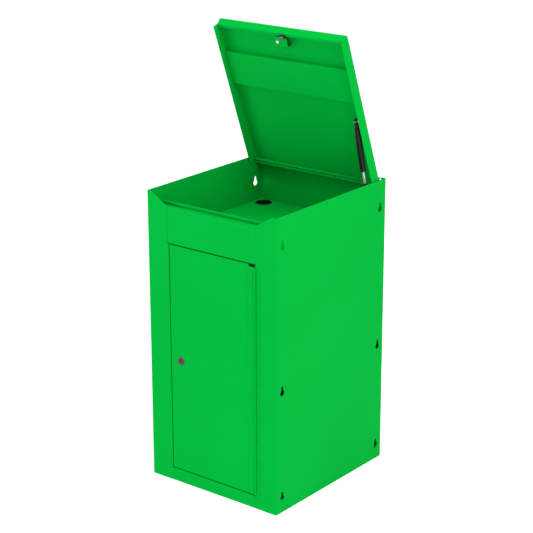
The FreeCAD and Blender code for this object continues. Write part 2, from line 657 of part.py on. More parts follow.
def make_lid():
    """Lid pan, drawn shut about the hinge line: top, side walls, sloped front and rear fold."""
    body = make_body("lid_panel")
    low = "(lid_top - lid_wall)"
    cheek = "(lid_length - 11.6)"
    path = [("-lid_half", low), ("-lid_half", "lid_top"), ("lid_half", "lid_top"), ("lid_half", low)]
    fold_sheet(body, "XZ", f"-{cheek}", "lid_rear - bend - sheet", path)
    rear = [("-6", "lid_top"), ("lid_rear", "lid_top"), ("lid_rear", "barrel + 0.6")]
    inset = "(lid_half - bend - sheet)"
    rear_fold = pad(body, "YZ", f"-{inset}", inset, folded(rear))
    names = edges_along(rear_fold, "YZ", (size("lid_rear"), size("lid_top")))
    round_edges(body, rear_fold, names, "bend")
    front = [(f"4 - {cheek}", "lid_top"), ("-lid_length", "lid_top"),
             ("13.3 - lid_length", "lid_top - 18.3"), ("22.3 - lid_length", "lid_top - 18.3"),
             ("22.3 - lid_length", "lid_top - 17.1"), ("13.91 - lid_length", "lid_top - 17.1"),
             ("2.36 - lid_length", "lid_top - sheet"), (f"4 - {cheek}", "lid_top - sheet")]
    front_fold = pad(body, "YZ", f"-{inset}", inset, front)
    names = edges_along(front_fold, "YZ", (size("-lid_length"), size("lid_top")))
    names += edges_along(front_fold, "YZ", (size("13.3 - lid_length"), size("lid_top - 18.3")))
    round_edges(body, front_fold, names, "bend")
    gusset = [(f"2 - {cheek}", "lid_top - bend - sheet"), ("2.6 - lid_length", "lid_top - bend - sheet"),
              ("11 - lid_length", "lid_top - 14"), (f"2 - {cheek}", "lid_top - 16.6")]
    for start, end in (("-lid_half", "sheet - lid_half"), ("lid_half - sheet", "lid_half")):
        pad(body, "YZ", start, end, gusset)
    return body


def make_lid_stiffener():
    """Wide hat channel across the underside of the lid."""
    body = make_body("lid_stiffener")
    skin, crown = "lid_top - sheet", "lid_top - 16.8"
    path = [("-404", skin), ("-392", skin), ("-392", crown), ("-283", crown), ("-283", skin),
            ("-271", skin)]
    reach = "(lid_half - bend - sheet)"
    fold_sheet(body, "YZ", f"-{reach}", reach, path)
    return body


def make_lid_catch():
    """Magnetic catch under the lid's front edge, on a bracket; it meets the rain lip."""
    bracket = make_body("lid_catch_bracket")
    path = [("-475.5", "-12.1"), ("-443.2", "-12.1"), ("-443.2", "lid_top - 2*sheet"),
            ("-428", "lid_top - 2*sheet")]
    fold_sheet(bracket, "YZ", "-catch_half", "catch_half", path[::-1])
    pocket(bracket, "XY", "-13", "-10", circles=[("-12", "-458", "2")])
    holder = make_body("lid_catch_body")
    pad(holder, "YZ", "-20.5", "14", rectangle("-474", "-10.9", "-448", "-5.4"))
    pad(holder, "YZ", "1", "14", rectangle("-478.8", "-10.9", "-473", "-5.4"))
    pad(holder, "YZ", "1", "21.5", rectangle("-484", "-18.9", "-475.7", "-9.7"))
    pocket(holder, "XY", "-12", "-4", circles=[("-12", "-458", "2")])
    pocket(holder, "YZ", "3", "19.5", rectangle("-482", "-20", "-477.6", "-12.9"))
    magnet = make_body("lid_catch_magnet")
    pad(magnet, "YZ", "3", "19.5", rectangle("-482", "-18.9", "-477.6", "-12.9"))
    screw = make_body("lid_catch_screw")
    revolve(screw, "XZ", [("0", "-2.4"), ("2.4", "-2.2"), ("5", "-1"), ("5", "0"), ("1.95", "0"),
                          ("1.95", "11"), ("0", "11")])
    nut = make_body("lid_catch_nut")
    pad(nut, "XY", "6.7", "9.9", [("4", "0"), ("2", "3.46"), ("-2", "3.46"), ("-4", "0"),
                                  ("-2", "-3.46"), ("2", "-3.46")], circles=[("0", "0", "1.95")])
    return [bracket, holder, magnet], [screw, nut]


def make_ball_stud(name, neck):
    """Ball stud pointing along local +X, from the ball's centre to the face it stands on."""
    body = make_body(name)
    turn_ball(body, "PartDesign::Revolution", "ball")
    revolve(body, "YZ", [
        ("0", "3"), ("3", "3"), ("3", f"{neck} - 2.2"), ("5.8", f"{neck} - 2.2"), ("5.8", neck), ("0", neck)])
    return body


def make_socket(name, reach):
    """Ball socket along local -Z from the ball's centre, open towards +X for the stud."""
    body = make_body(name)
    revolve(body, "XZ", [
        ("0", "7.4"), ("4.6", "7.4"), ("socket", "5.4"), ("socket", f"2 - ({reach})"),
        ("socket - 1", f"-({reach})"), ("0", f"-({reach})")])
    before = body.Tip.Shape.Volume
    turn_ball(body, "PartDesign::Groove", "ball + 0.06")
    if body.Tip.Shape.Volume > before - TINY:
        raise RuntimeError(f"{name}: the ball's seat isn't cut")
    pocket(body, "YZ", "0", "socket + 1", circles=[("0", "0", "4.4")])
    return body


def make_clip(name):
    """Spring clip round a socket, open on the stud's side."""
    clip = doc.addObject("Part::Torus", name)
    clip.Label = name
    clip.setExpression("Radius1", bound("socket + 0.75"))
    clip.Radius2 = 0.65
    clip.Angle3 = 250
    nodes.append(clip)
    return clip


def make_gas_spring():
    """Gas spring between the lid and the lower bracket, drawn with its rod fully out."""
    tilt = math.radians(size("lid_open"))
    forward, drop = -size("stud_forward"), -size("stud_drop")
    upper_y = size("lid_hinge_y") + forward * math.cos(tilt) + drop * math.sin(tilt)
    upper_z = size("lid_hinge_z") - forward * math.sin(tilt) + drop * math.cos(tilt)
    upper = FreeCAD.Vector(size("spring_x"), upper_y, upper_z)
    lower = FreeCAD.Vector(size("spring_x"), size("anchor_ball_y"), size("anchor_ball_z"))
    reach = (lower - upper).Length
    lean = FreeCAD.Rotation(FreeCAD.Vector(0, 0, -1), lower - upper)
    placed = FreeCAD.Placement(upper, lean)
    print("gas spring: upper ball", upper, "lower ball", lower, "length", reach)

    make_socket("gas_spring_upper_socket", "tube_top").Placement = placed
    tube = make_body("gas_spring_tube")
    bottom = "-(tube_top + tube_length)"
    revolve(tube, "XZ", [
        ("0", "-tube_top"), ("tube - 1.5", "-tube_top"), ("tube", "-tube_top - 1.5"), ("tube", bottom),
        ("tube_bore", bottom), ("tube_bore", "-tube_top - 4"), ("0", "-tube_top - 4")])
    tube.Placement = placed
    guide = make_body("gas_spring_rod_guide")
    revolve(guide, "XZ", [
        ("rod + 0.06", f"{bottom} - 3"), ("tube - 1.2", f"{bottom} - 3"), ("tube", f"{bottom} - 1.6"),
        ("tube", bottom), ("tube_bore", bottom), ("tube_bore", f"{bottom} + 8"),
        ("rod + 0.06", f"{bottom} + 8")])
    guide.Placement = placed
    rod = make_body("gas_spring_rod")
    socket_end = f"socket_length - {reach}"
    pad(rod, "XY", socket_end, f"{bottom} + 17.5", circles=[("0", "0", "rod")])
    rod.Placement = placed
    piston = make_body("gas_spring_piston")
    pad(piston, "XY", f"{bottom} + 9.5", f"{bottom} + 17.5",
        circles=[("0", "0", "tube_bore - 0.08"), ("0", "0", "rod")])
    piston.Placement = placed

    turned = FreeCAD.Rotation(FreeCAD.Vector(1, 0, 0), 180)
    far_end = FreeCAD.Placement(lower, lean.multiply(turned))
    make_socket("gas_spring_lower_socket", "socket_length").Placement = far_end
    for name, placement in (("gas_spring_upper_clip", placed), ("gas_spring_lower_clip", far_end)):
        opening = FreeCAD.Placement(FreeCAD.Vector(), FreeCAD.Rotation(FreeCAD.Vector(0, 0, 1), 55))
        make_clip(name).Placement = placement.multiply(opening)

    stud_turn = FreeCAD.Rotation(FreeCAD.Vector(0, 0, 1), FreeCAD.Vector(1, 0, 0))
    upper_stud = make_ball_stud("gas_spring_upper_stud", "lid_half - sheet - spring_x")
    upper_stud.Placement = FreeCAD.Placement(upper, stud_turn)
    tab = "bracket_face - bracket_sheet - 0.3 - spring_x"
    make_ball_stud("gas_spring_lower_stud", tab).Placement = FreeCAD.Placement(lower, stud_turn)


def make_lower_bracket():
    """Jogged bracket on the right side panel that carries the gas spring's lower ball stud."""
    body = make_body("gas_spring_lower_bracket")
    wall = "(width/2 - sheet)"
    path = [("bracket_face", "903"), ("bracket_face", "873.5"), (wall, "873.5"), (wall, "838")]
    fold_sheet(body, "XZ", "anchor_ball_y - 17", "anchor_ball_y + 17", path, "bracket_sheet")


def open_lid(bodies, offset=("0", "0", "0")):
    """Turn parts drawn about the hinge line to where the open lid holds them."""
    tilt = FreeCAD.Rotation(FreeCAD.Vector(1, 0, 0), -size("lid_open"))
    local = FreeCAD.Vector(*(size(item) for item in offset))
    hinge = FreeCAD.Vector(0, size("lid_hinge_y"), size("lid_hinge_z"))
    for body in bodies:
        body.Placement = FreeCAD.Placement(hinge + tilt.multVec(local), tilt)


def check_and_write():
    """Stop on any failed object, then write each sub-part to its own file."""
    doc.recompute()
    for item in doc.Objects:
        if "Invalid" in item.State or "Error" in item.State:
            raise RuntimeError(f"{item.Name} ({item.Label}) failed: {item.State}")
    os.makedirs("parts", exist_ok=True)
    for node in nodes:
        if node.Shape.isNull() or not node.Shape.isValid():
            raise RuntimeError(f"{node.Label} has no valid shape")
        node.Shape.exportStep(f"parts/{node.Label}.step")
        box = node.Shape.BoundBox
        print(f"{node.Label}: {len(node.Shape.Solids)} solids, {node.Shape.Volume:.0f} mm3,",
              f"x {box.XMin:.1f}..{box.XMax:.1f} y {box.YMin:.1f}..{box.YMax:.1f}",
              f"z {box.ZMin:.1f}..{box.ZMax:.1f}")


fill_sheet()
make_side_panel("side_panel_left", "-", "frame_left")
make_side_panel("side_panel_right", "", "seam")
make_back_panel()
make_bottom_panel()
make_front_sill()
make_front_top_panel()
make_tray_floor()
hinge_rail = make_rear_rail()
make_grommet()
make_door_panel()
make_door_stiffener()
make_door_hinge()
make_door_lock()
make_door_bumpers()
make_lid_hinge(hinge_rail)
catch, catch_fixings = make_lid_catch()
open_lid([make_lid(), make_lid_stiffener()] + catch)
open_lid(catch_fixings, ("-12", "-458", "-12.1"))
make_gas_spring()
make_lower_bracket()
check_and_write()
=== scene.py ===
"""Looks for the steel side cabinet.

Powder coat, plated hinges, lock, catch, gas spring, grommet and bumpers. Pieces are drawn in
millimetres; materials and the stage are in metres.
"""

import json
import math

import bmesh
import bpy
from mathutils import Matrix, Quaternion, Vector


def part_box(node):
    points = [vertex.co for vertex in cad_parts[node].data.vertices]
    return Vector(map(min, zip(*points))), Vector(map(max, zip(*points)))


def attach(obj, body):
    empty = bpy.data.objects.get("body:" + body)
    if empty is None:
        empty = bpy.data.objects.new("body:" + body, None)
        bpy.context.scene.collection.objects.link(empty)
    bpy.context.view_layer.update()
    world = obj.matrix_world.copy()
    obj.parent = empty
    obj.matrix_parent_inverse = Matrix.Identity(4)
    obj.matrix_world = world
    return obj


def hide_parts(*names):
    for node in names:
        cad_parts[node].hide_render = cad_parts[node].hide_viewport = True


MM = 0.001
LID_OPEN = math.radians(69.5)
SPRING_LEAN = math.radians(13.946)
SHEET = 1.2
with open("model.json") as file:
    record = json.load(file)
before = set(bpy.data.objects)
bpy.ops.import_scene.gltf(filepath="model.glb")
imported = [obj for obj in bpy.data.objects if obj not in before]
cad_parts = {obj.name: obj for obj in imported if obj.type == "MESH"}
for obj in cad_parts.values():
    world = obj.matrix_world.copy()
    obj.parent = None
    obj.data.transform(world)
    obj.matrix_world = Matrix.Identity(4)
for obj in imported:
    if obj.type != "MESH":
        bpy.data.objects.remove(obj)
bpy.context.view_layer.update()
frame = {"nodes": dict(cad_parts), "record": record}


# ---------------------------------------------------------------- materials

class Recipe:
    """A material under construction, with short ways to add and join nodes."""

    def __init__(self, name, **sockets):
        self.material = bpy.data.materials.new(name)
        self.material.use_nodes = True
        self.tree = self.material.node_tree
        self.shader = self.tree.nodes["Principled BSDF"]
        for socket, value in sockets.items():
            self.shader.inputs[socket.replace("_", " ")].default_value = value
        self.place = self.node("ShaderNodeTexCoord").outputs["Object"]

    def node(self, kind, **settings):
        """Add a node and set its properties."""
        made = self.tree.nodes.new(kind)
        for key, value in settings.items():
            setattr(made, key, value)
        return made

    def join(self, source, target):
        """Link an output to an input."""
        self.tree.links.new(source, target)

    def noise(self, scale, detail=2.0, stretch=None):
        """Noise in the object's own metres: scale is features per metre."""
        made = self.node("ShaderNodeTexNoise")
        made.inputs["Scale"].default_value = scale
        made.inputs["Detail"].default_value = detail
        source = self.place
        if stretch:
            mapping = self.node("ShaderNodeMapping")
            mapping.inputs["Scale"].default_value = stretch
            self.join(source, mapping.inputs["Vector"])
            source = mapping.outputs["Vector"]
        self.join(source, made.inputs["Vector"])
        return made.outputs["Fac"]

    def remap(self, value, low, high, to_low, to_high):
        """Map one range of values onto another, clamped."""
        made = self.node("ShaderNodeMapRange")
        limits = {"From Min": low, "From Max": high, "To Min": to_low, "To Max": to_high}
        for socket, number in limits.items():
            made.inputs[socket].default_value = number
        self.join(value, made.inputs["Value"])
        return made.outputs["Result"]

    def maths(self, operation, first, second):
        """One sum on two values; each is a number or another node's output."""
        made = self.node("ShaderNodeMath", operation=operation)
        for socket, value in zip(made.inputs, (first, second)):
            if isinstance(value, (int, float)):
                socket.default_value = value
            else:
                self.join(value, socket)
        return made.outputs["Value"]

    def blend(self, factor, first, second):
        """A colour between two others; each is a colour or another node's output."""
        made = self.node("ShaderNodeMix", data_type="RGBA")
        self.join(factor, made.inputs[0])
        for socket, value in ((made.inputs[6], first), (made.inputs[7], second)):
            if isinstance(value, tuple):
                socket.default_value = (*value, 1.0)
            else:
                self.join(value, socket)
        return made.outputs[2]

    def edges(self, radius):
        """1 near the edges of a shape and 0 on its faces."""
        rounded = self.node("ShaderNodeBevel", samples=6)
        rounded.inputs["Radius"].default_value = radius
        flat = self.node("ShaderNodeNewGeometry")
        facing = self.node("ShaderNodeVectorMath", operation="DOT_PRODUCT")
        self.join(rounded.outputs["Normal"], facing.inputs[0])
        self.join(flat.outputs["Normal"], facing.inputs[1])
        return self.remap(facing.outputs["Value"], 0.995, 0.80, 0.0, 1.0)

    def bumps(self, *layers):
        """Height layers as (value, depth in metres), from coarse to fine."""
        normal = None
        for height, depth in layers:
            made = self.node("ShaderNodeBump")
            made.inputs["Strength"].default_value = 1.0
            made.inputs["Distance"].default_value = depth
            self.join(height, made.inputs["Height"])
            if normal:
                self.join(normal, made.inputs["Normal"])
            normal = made.outputs["Normal"]
        self.join(normal, self.shader.inputs["Normal"])


def powder_coat():
    """Semi-gloss green powder coat: orange peel, slightly wavy sheet, and a painted highlight,
    lighter green along the edges.
    """
    recipe = Recipe("green_powder_coat", Metallic=0.0, Specular_IOR_Level=0.006)
    drift = recipe.remap(recipe.noise(2.4, 3.0), 0.35, 0.65, 0.0, 1.0)
    colour = recipe.blend(drift, (0.0, 0.250, 0.0247), (0.0, 0.264, 0.0272))
    speckle = recipe.remap(recipe.noise(1400.0, 1.0), 0.30, 0.70, 0.0, 0.12)
    colour = recipe.blend(speckle, colour, (0.0, 0.20, 0.017))
    # painted highlight: a lighter green is laid along the edges, as if they caught the light
    painted_edge_highlight = recipe.edges(1.1 * MM)
    painted_edge_highlight = recipe.maths("MULTIPLY", painted_edge_highlight, recipe.remap(recipe.noise(60.0, 3.0), 0.3, 0.7, 0.2, 0.6))
    colour = recipe.blend(painted_edge_highlight, colour, (0.004, 0.38, 0.051))
    recipe.join(colour, recipe.shader.inputs["Base Color"])
    gloss = recipe.remap(recipe.noise(38.0, 4.0), 0.3, 0.7, 0.40, 0.50)
    recipe.join(gloss, recipe.shader.inputs["Roughness"])
    recipe.bumps((recipe.noise(5.0, 2.0), 0.0010), (recipe.noise(420.0, 2.0), 0.00004),
                 (recipe.noise(1500.0, 1.0), 0.00001))
    return recipe.material


def plated_steel(name, colour, roughness, dark):
    """Plated steel with a fine grain, dulled patches and a painted highlight along the edges."""
    recipe = Recipe(name, Metallic=1.0)
    grain = recipe.noise(900.0, 3.0)
    patches = recipe.remap(recipe.noise(55.0, 4.0), 0.35, 0.70, 0.0, 0.8)
    mixed = recipe.blend(recipe.remap(grain, 0.3, 0.7, 0.0, 0.4), colour, dark)
    mixed = recipe.blend(recipe.maths("MULTIPLY", patches, 0.4), mixed, dark)
    # painted highlight: the edges are drawn brighter than the steel, as if catching the light
    painted_edge_highlight = recipe.edges(0.4 * MM)
    edge_highlight_tint = tuple(min(1.0, channel * 1.25) for channel in colour)
    mixed = recipe.blend(recipe.maths("MULTIPLY", painted_edge_highlight, 0.6), mixed, edge_highlight_tint)
    recipe.join(mixed, recipe.shader.inputs["Base Color"])
    recipe.join(recipe.remap(grain, 0.3, 0.7, roughness - 0.06, roughness + 0.10),
                recipe.shader.inputs["Roughness"])
    recipe.bumps((grain, 0.00001))
    return recipe.material


def polished_chrome():
    """The ground rod: a satin film of oil over chrome, with fine rings of grinding."""
    recipe = Recipe("chrome_rod", Metallic=0.55, Specular_IOR_Level=0.5)
    rings = recipe.noise(2600.0, 1.0, stretch=(0.15, 0.15, 1.0))
    light, shade = (0.50, 0.47, 0.48), (0.40, 0.38, 0.40)
    colour = recipe.blend(recipe.remap(rings, 0.3, 0.7, 0.0, 1.0), light, shade)
    recipe.join(colour, recipe.shader.inputs["Base Color"])
    recipe.join(recipe.remap(rings, 0.3, 0.7, 0.26, 0.36), recipe.shader.inputs["Roughness"])
    recipe.bumps((rings, 0.000002))
    return recipe.material


def moulded(name, colour, roughness, specular, grain, depth):
    """Moulded plastic, rubber or enamel: fine texture, dusty patches, and lighter edges that are
    partly wear and partly a painted highlight.
    """
    recipe = Recipe(name, Metallic=0.0, Specular_IOR_Level=specular)
    # a lighter tone, used for the dust patches and for the edges, where it is partly wear and
    # partly painted highlight
    dust_wear_and_edge_highlight = tuple(channel * 2.0 + 0.003 for channel in colour)
    dust = recipe.remap(recipe.noise(90.0, 4.0), 0.45, 0.75, 0.0, 0.30)
    mixed = recipe.blend(dust, colour, dust_wear_and_edge_highlight)
    # lighter edges: partly wear, partly a painted highlight
    mixed = recipe.blend(recipe.maths("MULTIPLY", recipe.edges(0.5 * MM), 0.5), mixed, dust_wear_and_edge_highlight)
    recipe.join(mixed, recipe.shader.inputs["Base Color"])
    gloss = recipe.remap(recipe.noise(140.0, 3.0), 0.3, 0.7, roughness - 0.05, roughness + 0.07)
    recipe.join(gloss, recipe.shader.inputs["Roughness"])
    recipe.bumps((recipe.noise(grain, 2.0), depth))
    return recipe.material


MATERIALS = {
    "green_powder_coat": powder_coat(),
    "hinge_steel": plated_steel("hinge_steel", (0.40, 0.47, 0.45), 0.38, (0.22, 0.27, 0.26)),
    "dark_rivet": plated_steel("dark_rivet", (0.10, 0.11, 0.11), 0.42, (0.04, 0.04, 0.04)),
    "zinc_steel": plated_steel("zinc_steel", (0.62, 0.62, 0.64), 0.30, (0.40, 0.40, 0.42)),
    "lock_metal": plated_steel("lock_metal", (0.074, 0.050, 0.062), 0.34, (0.035, 0.030, 0.034)),
    "spring_steel": plated_steel("spring_steel", (0.72, 0.72, 0.74), 0.22, (0.50, 0.50, 0.52)),
    "chrome_rod": polished_chrome(),
    "black_enamel": moulded("black_enamel", (0.0035, 0.003, 0.0035), 0.34, 0.16, 300.0, 0.000002),
    "black_plastic": moulded("black_plastic", (0.009, 0.005, 0.010), 0.48, 0.16, 1500.0, 0.000004),
    "black_rubber": moulded("black_rubber", (0.005, 0.004, 0.005), 0.62, 0.12, 900.0, 0.000006),
    "magnet": plated_steel("magnet", (0.20, 0.20, 0.21), 0.45, (0.10, 0.10, 0.11)),
}
SLOTS = {part["node"]: part["material_slot"] for part in frame["record"]["subparts"]}


def finish_of(obj, slot_name):
    """Give an object one of the finishes."""
    obj.data.materials.clear()
    obj.data.materials.append(MATERIALS[slot_name])


for node_name, node in frame["nodes"].items():
    finish_of(node, SLOTS[node_name])


# ---------------------------------------------------------------- ways to make meshes

BEVEL_ANGLE = math.radians(35)
SMOOTH_ANGLE = math.radians(32)
TINY = 1e-6
ENDLESS = 1e9


class Shape:
    """A piece under construction. All sizes are in millimetres until it is finished."""

    def __init__(self, matrix=None):
        self.mesh = bmesh.new()
        self.matrix = matrix or Matrix.Identity(4)

    def add(self, part, matrix=None):
        """Take in a part, turned outwards and set in its place."""
        bmesh.ops.recalc_face_normals(part, faces=part.faces)
        part.transform(self.matrix @ (matrix or Matrix.Identity(4)))
        carrier = bpy.data.meshes.new("carrier")
        part.to_mesh(carrier)
        part.free()
        self.mesh.from_mesh(carrier)
        bpy.data.meshes.remove(carrier)

    def polar(self, rings, matrix=None, steps=48, closed=False):
        """Skin rings about local Z: (radius, height) each; a radius may vary with the angle."""
        part = bmesh.new()
        rows = []
        for radius, height in rings:
            if radius == 0.0:
                rows.append([part.verts.new((0.0, 0.0, height))])
                continue
            row = []
            for step in range(steps):
                angle = 2.0 * math.pi * step / steps
                reach = radius(angle) if callable(radius) else radius
                spot = (reach * math.cos(angle), reach * math.sin(angle), height)
                row.append(part.verts.new(spot))
            rows.append(row)
        pairs = list(zip(rows, rows[1:]))
        if closed:
            pairs.append((rows[-1], rows[0]))
        for low, high in pairs:
            for step in range(steps):
                after = (step + 1) % steps
                if len(low) == 1:
                    part.faces.new((low[0], high[after], high[step]))
                elif len(high) == 1:
                    part.faces.new((low[step], low[after], high[0]))
                else:
                    part.faces.new((low[step], low[after], high[after], high[step]))
        self.add(part, matrix)

    def prism(self, outline, low, high, matrix=None, bevel=0.0):
        """Extrude an outline along local Z, with its edges eased."""
        part = bmesh.new()
        corners = [part.verts.new((x, y, low)) for x, y in outline]
        base = part.faces.new(corners)
        moved = bmesh.ops.extrude_face_region(part, geom=[base])["geom"]
        raised = [item for item in moved if isinstance(item, bmesh.types.BMVert)]
        bmesh.ops.translate(part, verts=raised, vec=(0.0, 0.0, high - low))
        if bevel:
            part.normal_update()
            bmesh.ops.recalc_face_normals(part, faces=part.faces)
            sharp = [edge for edge in part.edges if edge.calc_face_angle(0.0) > BEVEL_ANGLE]
            bmesh.ops.bevel(part, geom=sharp, offset=bevel, segments=2, profile=0.6,
                            affect="EDGES", clamp_overlap=True)
        self.add(part, matrix)

    def finish(self, name, body, slot_name, *nodes):
        """Make the object: it rides on a body and stands for CAD nodes."""
        data = bpy.data.meshes.new(name)
        self.mesh.transform(Matrix.Scale(MM, 4))
        self.mesh.to_mesh(data)
        self.mesh.free()
        data.polygons.foreach_set("use_smooth", [True] * len(data.polygons))
        data.set_sharp_from_angle(angle=SMOOTH_ANGLE)
        obj = bpy.data.objects.new(name, data)
        bpy.context.scene.collection.objects.link(obj)
        finish_of(obj, slot_name)
        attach(obj, body)
        if nodes:
            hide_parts(*nodes)


def soften(points, radius, steps=3):
    """Round the corners of an outline, by at most half of each side."""
    rounded = []
    for index, point in enumerate(points):
        tip = Vector(point)
        before, after = Vector(points[index - 1]), Vector(points[(index + 1) % len(points)])
        reach = min(radius, (before - tip).length / 2, (after - tip).length / 2)
        start = tip + (before - tip).normalized() * reach
        end = tip + (after - tip).normalized() * reach
        for step in range(steps + 1):
            share = step / steps
            rest = 1 - share
            rounded.append(start * rest ** 2 + tip * 2 * share * rest + end * share ** 2)
    return [(spot.x, spot.y) for spot in rounded]


def from_axes(origin, x_axis, y_axis, z_axis):
    """A placement from an origin and three axes."""
    return Matrix((
        (x_axis[0], y_axis[0], z_axis[0], origin[0]),
        (x_axis[1], y_axis[1], z_axis[1], origin[1]),
        (x_axis[2], y_axis[2], z_axis[2], origin[2]),
        (0.0, 0.0, 0.0, 1.0)))


def middle(node):
    """The middle of a CAD node's box, in millimetres."""
    low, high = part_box(node)
    return (Vector(low) + Vector(high)) / 2 / MM


def corner(node, end):
    """The lowest (0) or highest (1) corner of a CAD node's box, in millimetres."""
    return Vector(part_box(node)[end]) / MM


def open_lid():
    """Placement of the open lid, for shapes drawn shut about the hinge line."""
    pin = middle("lid_hinge_pin")
    return Matrix.Translation((0.0, pin.y, pin.z)) @ Matrix.Rotation(-LID_OPEN, 4, "X")


def rectangle_reach(half_x, half_y):
    """Radius of a rectangle's outline at an angle."""
    def reach(angle):
        across, up = abs(math.cos(angle)), abs(math.sin(angle))
        to_side = half_x / across if across > TINY else ENDLESS
        to_top = half_y / up if up > TINY else ENDLESS
        return min(to_side, to_top)
    return reach


def cross_reach(length, half_width):
    """Radius of a cross recess at an angle."""
    def reach(angle):
        off_arm = min(angle % (math.pi / 2), math.pi / 2 - angle % (math.pi / 2))
        along = length / math.cos(off_arm)
        return min(along, half_width / math.sin(off_arm)) if off_arm > TINY else along
    return reach


def hexagon_reach(corner_radius, limit):
    """Radius of a hexagon at an angle, with its corners turned down to a limit."""
    flat = corner_radius * math.cos(math.radians(30))

    def reach(angle):
        off_flat = (angle + math.radians(30)) % math.radians(60) - math.radians(30)
        off_flat = abs(off_flat) - math.radians(30)
        return min(limit, flat / math.cos(off_flat))
    return reach


def thread_rings(outer, depth, low, high, pitch):
    """Rings of a single-start screw thread on the outside of a body."""
    rings = []
    count = int(round((high - low) / pitch * 4))
    for index in range(count + 1):
        height = low + (high - low) * index / count

        def reach(angle, height=height):
            phase = (height / pitch + angle / (2 * math.pi)) % 1.0
            return outer - depth * abs(2 * phase - 1)
        rings.append((reach, height))
    return rings


# ---------------------------------------------------------------- detail pieces

INTO_CABINET = ((0.0, 0.0, 1.0), (1.0, 0.0, 0.0), (0.0, 1.0, 0.0))
ACROSS_LID = ((0.0, 1.0, 0.0), (0.0, 0.0, 1.0), (1.0, 0.0, 0.0))
RIVET_HEAD_RADIUS = 2.5
RIVET_HEAD_HEIGHT = 1.0
KNUCKLE_PITCH = 15.0
KNUCKLE_GAP = 0.4
DOOR_KNUCKLES = 47
LID_KNUCKLES = 31
LEAF_OFFSET = 2.9
LEAF_WIDTHS = {
    "door_hinge_fixed_leaf": 12.1,
    "door_hinge_moving_leaf": 27.6,
    "lid_hinge_fixed_leaf": 11.9,
    "lid_hinge_moving_leaf": 7.7,
}
DOOR_RIVETS = 9
LID_RIVETS = 4
TUBE_LENGTH = 140.0
BUMPER_RADIUS = 5.0
CATCH_SCREW = (-12.0, -458.0, -12.1)


def blind_rivets(name, node, count):
    """A row of blind rivets: domed head with the sunk end of its mandrel, and a bulb behind."""
    low, high = corner(node, 0), corner(node, 1)
    row = Shape()
    reach = RIVET_HEAD_RADIUS
    head_y = low.y + RIVET_HEAD_HEIGHT
    first = Vector((low.x + reach, head_y, low.z + reach))
    last = Vector((high.x - reach, head_y, high.z - reach))
    dish = [(0.0, -0.42), (0.55, -0.42), (0.62, -0.30), (0.78, -0.28), (0.86, -0.95)]
    head = [(1.15, -0.99), (1.55, -0.90), (2.0, -0.68), (2.32, -0.38), (2.48, -0.14), (reach, 0.0)]
    tail = [(1.58, 0.0), (1.58, 2.45), (2.05, 2.75), (2.1, 3.1), (1.7, 3.55), (1.0, 3.75),
            (0.0, 3.8)]
    for index in range(count):
        spot = first.lerp(last, index / (count - 1))
        row.polar(dish + head + tail, from_axes(spot, *INTO_CABINET), steps=28)
    row.finish(name, "cabinet", SLOTS[node], node)


def knuckle_outline(side):
    """Section of a knuckle: the plate's edge runs into a curl round the pin."""
    half = SHEET / 2
    centre = LEAF_OFFSET - half
    path = [Vector((2.75, centre)), Vector((1.5, centre - 0.05)), Vector((0.6, centre - 0.17))]
    curl, first_angle, last_angle, count = 1.95, 82, 378, 24
    for step in range(count + 1):
        angle = math.radians(first_angle + step * (last_angle - first_angle) / count)
        path.append(Vector((curl * math.cos(angle), curl * math.sin(angle))))
    left, right = [], []
    for index, point in enumerate(path):
        ahead = path[min(index + 1, len(path) - 1)] - path[max(index - 1, 0)]
        normal = Vector((-ahead.y, ahead.x)).normalized() * half
        left.append(point + normal)
        right.append(point - normal)
    return [(side * spot.x, spot.y) for spot in left + right[::-1]]


def rolled_leaf(name, node, body, side, knuckles, first_gap, turn):
    """Hinge leaf rolled from sheet: a flat plate and curls round the pin at every other knuckle."""
    leaf = Shape(turn)
    near, far = side * 2.4, side * LEAF_WIDTHS[node]
    plate = [(near, LEAF_OFFSET - SHEET), (far, LEAF_OFFSET - SHEET), (far, LEAF_OFFSET),
             (near, LEAF_OFFSET)]
    leaf.prism(soften(plate, 0.3), 0.0, KNUCKLE_PITCH * knuckles)
    outline = knuckle_outline(side)
    for index in range(knuckles):
        if (index - first_gap) % 2 == 0:
            continue
        start = KNUCKLE_PITCH * index + (KNUCKLE_GAP / 2 if index else 0.0)
        end = KNUCKLE_PITCH * (index + 1) - (KNUCKLE_GAP / 2 if index < knuckles - 1 else 0.0)
        leaf.prism(outline, start, end, bevel=0.12)
    leaf.finish(name, body, SLOTS[node], node)


def make_hinges():
    """Both continuous hinges: two leaves each, and the rivets of the fixed ones."""
    pin = middle("door_hinge_pin")
    shut = Matrix.Translation((pin.x, pin.y, corner("door_hinge_fixed_leaf", 0).z))
    rolled_leaf("door_hinge_leaf_cabinet", "door_hinge_fixed_leaf", "cabinet", 1,
                DOOR_KNUCKLES, 1, shut)
    rolled_leaf("door_hinge_leaf_door", "door_hinge_moving_leaf", "door", -1,
                DOOR_KNUCKLES, 0, shut)

    pin = middle("lid_hinge_pin")
    start = (corner("lid_hinge_fixed_leaf", 0).x, pin.y, pin.z)
    flat = from_axes(start, (0.0, 0.0, -1.0), (0.0, 1.0, 0.0), (1.0, 0.0, 0.0))
    rolled_leaf("lid_hinge_leaf_cabinet", "lid_hinge_fixed_leaf", "cabinet", 1,
                LID_KNUCKLES, 1, flat)
    opened = open_lid() @ Matrix.Translation((0.0, -pin.y, -pin.z)) @ flat
    rolled_leaf("lid_hinge_leaf_lid", "lid_hinge_moving_leaf", "lid", -1,
                LID_KNUCKLES, 0, opened)

    blind_rivets("door_hinge_blind_rivets", "door_hinge_rivets", DOOR_RIVETS)
    blind_rivets("lid_hinge_blind_rivets", "lid_hinge_rivets", LID_RIVETS)


